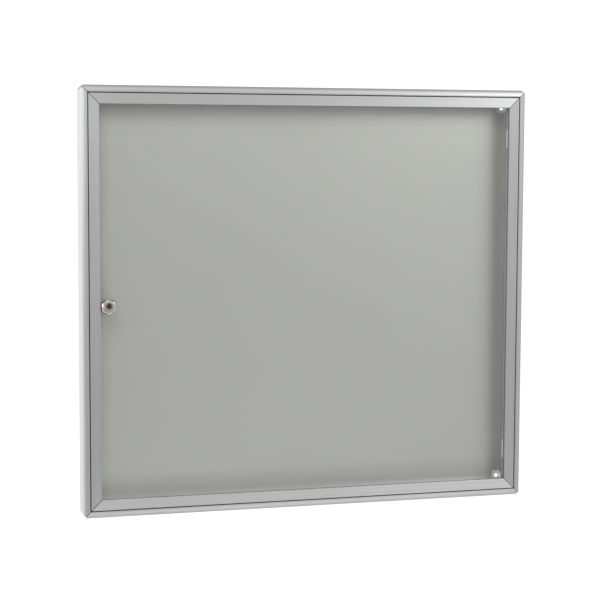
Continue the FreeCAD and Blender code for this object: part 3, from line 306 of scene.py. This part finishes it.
lock_centre = (-0.322, -0.005)
ALU_X = anodised("board_aluminium_along_x", "x", True)
ALU_Z = anodised("board_aluminium_along_z", "z", True)
BY_SLOT = {
    "corner_key_cast": cast("board_corner_key_cast", (0.36, 0.37, 0.38), (0.50, 0.51, 0.52), 0.42, 0.58),
    "door_key_aluminium": cast("board_door_key_stamped", (0.52, 0.53, 0.54), (0.64, 0.65, 0.66), 0.34, 0.48, 1500.0),
    "panel_enamel": enamel(),
    "rivet_aluminium": cast("board_rivet_aluminium", (0.60, 0.61, 0.62), (0.76, 0.77, 0.78), 0.25, 0.40, 2200.0),
    "bracket_steel": zinc_plated("board_bracket_galvanised", (0.80, 0.80, 0.80), (0.94, 0.94, 0.94), 420.0, 0.40, 0.55, 0.55, 0.5),
    "seal_rubber": rubber("board_seal_rubber", (0.030, 0.030, 0.032), (0.055, 0.055, 0.058)),
    "gasket_rubber": rubber("board_gasket_rubber", (0.20, 0.20, 0.205), (0.27, 0.27, 0.275), 0.5, 0.68),
    "pane_clear": clear_pane(),
    "pin_steel": zinc_plated("board_pin_steel", (0.50, 0.50, 0.51), (0.66, 0.66, 0.67), 1500.0, 0.2, 0.3, 0.2),
    "screw_steel": zinc_plated("board_screw_zinc", (0.52, 0.53, 0.54), (0.72, 0.72, 0.72), 1800.0, 0.24, 0.36, 0.3),
    "hinge_steel": zinc_plated("board_hinge_zinc", (0.86, 0.86, 0.85), (0.97, 0.97, 0.96), 1300.0, 0.30, 0.42, 0.35, 0.5),
    "lock_nickel": turned("board_lock_nickel", (0.56, 0.50, 0.41), (0.74, 0.68, 0.58), lock_centre, 0.26, 0.38),
    # the plug's near-black colour is partly painted shade of its recessed face, partly darkened brass
    "plug_nickel": turned("board_plug_brass", (0.10, 0.078, 0.05), (0.22, 0.175, 0.12), (-0.322, -0.0035), 0.3, 0.45),
    "lock_zinc": cast("board_lock_zinc", (0.40, 0.39, 0.38), (0.56, 0.55, 0.53), 0.34, 0.5, 1300.0),
    "bolt_steel": zinc_plated("board_bolt_steel", (0.50, 0.49, 0.46), (0.68, 0.66, 0.62), 1500.0, 0.26, 0.4, 0.3),
    "washer_plastic": rubber("board_washer_plastic", (0.07, 0.07, 0.072), (0.11, 0.11, 0.113), 0.38, 0.52),
}
RETAINER = {"x": anodised("board_retainer_along_x", "x"), "z": anodised("board_retainer_along_z", "z")}

NUT = turned("board_nut_nickel", (0.80, 0.77, 0.73), (0.92, 0.90, 0.87), lock_centre, 0.20, 0.30)

slot_of = {}
for n, o in nodes.items():
    slot_of[n] = o.data.materials[0].name.split(".")[0]
for n, o in nodes.items():
    s = slot_of[n]
    if s in ("frame_aluminium", "retainer_aluminium"):
        upright = n.endswith(("_left", "_right"))
        pair = (ALU_Z, ALU_X) if s == "frame_aluminium" else (RETAINER["z"], RETAINER["x"])
        mat = pair[0] if upright else pair[1]
    else:
        mat = NUT if n == "lock_nut" else BY_SLOT[s]
    for i in range(len(o.material_slots)):
        o.material_slots[i].material = mat


# ---------------------------------------------------------------- finer edges
def soften(name, width, segments=2, angle=32):
    """Welds the faces of a CAD node together and rounds its sharp edges."""
    o = nodes[name]
    w = o.modifiers.new("weld", "WELD")
    w.merge_threshold = 0.000004
    b = o.modifiers.new("edges", "BEVEL")
    b.width = width
    b.segments = segments
    b.limit_method = "ANGLE"
    b.angle_limit = math.radians(angle)
    b.use_clamp_overlap = True
    b.harden_normals = True
    b.miter_outer = "MITER_ARC"
    for p in o.data.polygons:
        p.use_smooth = True
    n = o.modifiers.new("shade", "WEIGHTED_NORMAL")
    n.keep_sharp = True
    n.weight = 60


for name in nodes:
    if name.startswith("wall_bracket"):
        soften(name, 0.00022)
    elif name.startswith(("hinge_case_leaf", "hinge_door_leaf")):
        soften(name, 0.00015)
    elif name in ("lock_case", "lock_cover", "lock_bolt"):
        soften(name, 0.00022)
    elif name == "lock_nut":
        soften(name, 0.00018)
    elif name.startswith("case_corner_key"):
        soften(name, 0.0003)


# ---------------------------------------------------------------- floor
def floor():
    bm = bmesh.new()
    z0, r = -1.5, 3.3
    rings = [0.0, 1.2, 2.2, 2.9, r]
    last = None
    for k, rad in enumerate(rings):
        if k == 0:
            ring = [bm.verts.new((0, -0.4, z0))]
        else:
            ring = [
                bm.verts.new((rad * math.cos(a), -0.4 + rad * math.sin(a), z0))
                for a in (2 * math.pi * i / 96 for i in range(96))
            ]
            n = len(ring)
            for i in range(n):
                if len(last) == 1:
                    bm.faces.new((last[0], ring[i], ring[(i + 1) % n]))
                else:
                    bm.faces.new((last[i], ring[i], ring[(i + 1) % n], last[(i + 1) % n]))
        last = ring
    me = bpy.data.meshes.new("studio_floor")
    bm.to_mesh(me)
    bm.free()
    o = bpy.data.objects.new("studio_floor", me)
    bpy.context.scene.collection.objects.link(o)
    m = Mat("studio_floor_paper", IOR=1.45)
    tone = m.noise(m.coords((3, 3, 3)), 1.0, 3.0, 0.5)
    fibre = m.noise(m.coords(), 400.0, 2.0, 0.5)
    m.set(
        Base_Color=m.ramp(tone, [(0.3, (0.90, 0.90, 0.895)), (0.7, (0.93, 0.93, 0.925))]),
        Roughness=m.ramp(fibre, [(0.3, 0.75), (0.7, 0.85)]),
    )
    me.materials.append(m.m)


floor()


# ---------------------------------------------------------------- light
def aim(o, at):
    o.rotation_euler = (Vector(at) - o.location).to_track_quat("-Z", "Y").to_euler()


def area(name, at, to, size, power, colour=(1, 1, 1)):
    d = bpy.data.lights.new(name, "AREA")
    d.shape = "RECTANGLE"
    d.size, d.size_y = size
    d.energy = power
    d.color = colour
    o = bpy.data.objects.new(name, d)
    bpy.context.scene.collection.objects.link(o)
    o.location = at
    aim(o, to)
    return o


def around(azimuth, elevation, r):
    """Point at r metres from the board: azimuth 0 is straight in front, + to the right."""
    az, el = math.radians(azimuth), math.radians(elevation)
    return (r * math.sin(az) * math.cos(el), -r * math.cos(az) * math.cos(el), r * math.sin(el))


# softboxes: azimuth, elevation, size across and up, power
LIGHTS = [
    ("key_box", 46.0, 28.0, (1.05, 0.55), 10.4),
    ("left_box", -66.0, 11.0, (0.95, 0.6), 3.6),
    ("upper_left_box", -30.0, 42.0, (0.8, 0.6), 14.2),
]
for name, az, el, size, power in LIGHTS:
    area(name, around(az, el, 2.2), (0, 0, 0), size, power)
area("low_bounce", (0.15, -0.75, -0.95), (0, 0, -0.3), (1.2, 0.3), 1.25)

world = bpy.data.worlds.new("studio")
bpy.context.scene.world = world
world.use_nodes = True
wt = world.node_tree
wt.nodes.clear()
w_out = wt.nodes.new("ShaderNodeOutputWorld")
w_bg = wt.nodes.new("ShaderNodeBackground")
w_bg.inputs["Color"].default_value = (1, 1, 1, 1)
w_tc = wt.nodes.new("ShaderNodeTexCoord")


def w_math(op, a, b):
    n = wt.nodes.new("ShaderNodeMath")
    n.operation = op
    for socket, v in ((n.inputs[0], a), (n.inputs[1], b)):
        if isinstance(v, bpy.types.NodeSocket):
            wt.links.new(v, socket)
        else:
            socket.default_value = v
    return n.outputs[0]


# the white room: soft lobes of light, as direction, sharpness and strength
ROOM = [
    ((0.27, 0.96, -0.08), 2.0, 1.09),
    (around(-135, 0, 1.0), 3.0, 0.55),
    (around(-100, 0, 1.0), 5.0, 1.46),
    (around(62, -2, 1.0), 6.0, 0.96),
    (around(20, 52, 1.0), 5.0, 0.88),
    (around(0, 89, 1.0), 2.0, 0.06),
    (around(10, -24, 1.0), 8.0, 0.22),
    (around(14, -27, 1.0), 40.0, 0.60),
    (around(32, 16, 1.0), 40.0, 0.53),
    (around(38, 26, 1.0), 30.0, 1.10),
    (around(-25, 8, 1.0), 20.0, 1.55),
]
total = None
for direction, sharp, strength in ROOM:
    dot = wt.nodes.new("ShaderNodeVectorMath")
    dot.operation = "DOT_PRODUCT"
    wt.links.new(w_tc.outputs["Generated"], dot.inputs[0])
    dot.inputs[1].default_value = Vector(direction).normalized()
    lobe = w_math("POWER", w_math("MAXIMUM", dot.outputs["Value"], 0.0), sharp)
    lobe = w_math("MULTIPLY", lobe, strength)
    total = lobe if total is None else w_math("ADD", total, lobe)
wt.links.new(total, w_bg.inputs["Strength"])
wt.links.new(w_bg.outputs[0], w_out.inputs["Surface"])

# ---------------------------------------------------------------- camera
cam = bpy.data.cameras.new("photo_camera")
cam.sensor_width = 36.0
cam.sensor_fit = "HORIZONTAL"
cam.lens = 98.76
cam.clip_start = 0.05
cam_o = bpy.data.objects.new("photo_camera", cam)
bpy.context.scene.collection.objects.link(cam_o)
forward = Vector((0.27152, 0.95801, -0.0919)).normalized()
up = Vector((0.0213, 0.0895, 0.9958))
right = forward.cross(up).normalized()
up = right.cross(forward).normalized()
cam_o.matrix_world = Matrix.Translation((-0.7244, -2.5265, 0.2388)) @ Matrix(
    (right, up, -forward)
).transposed().to_4x4()
bpy.context.scene.camera = cam_o

view = bpy.context.scene.view_settings
view.view_transform = "Standard"
view.look = "None"
view.exposure = 0.0
view.gamma = 1.0

bpy.context.view_layer.update()
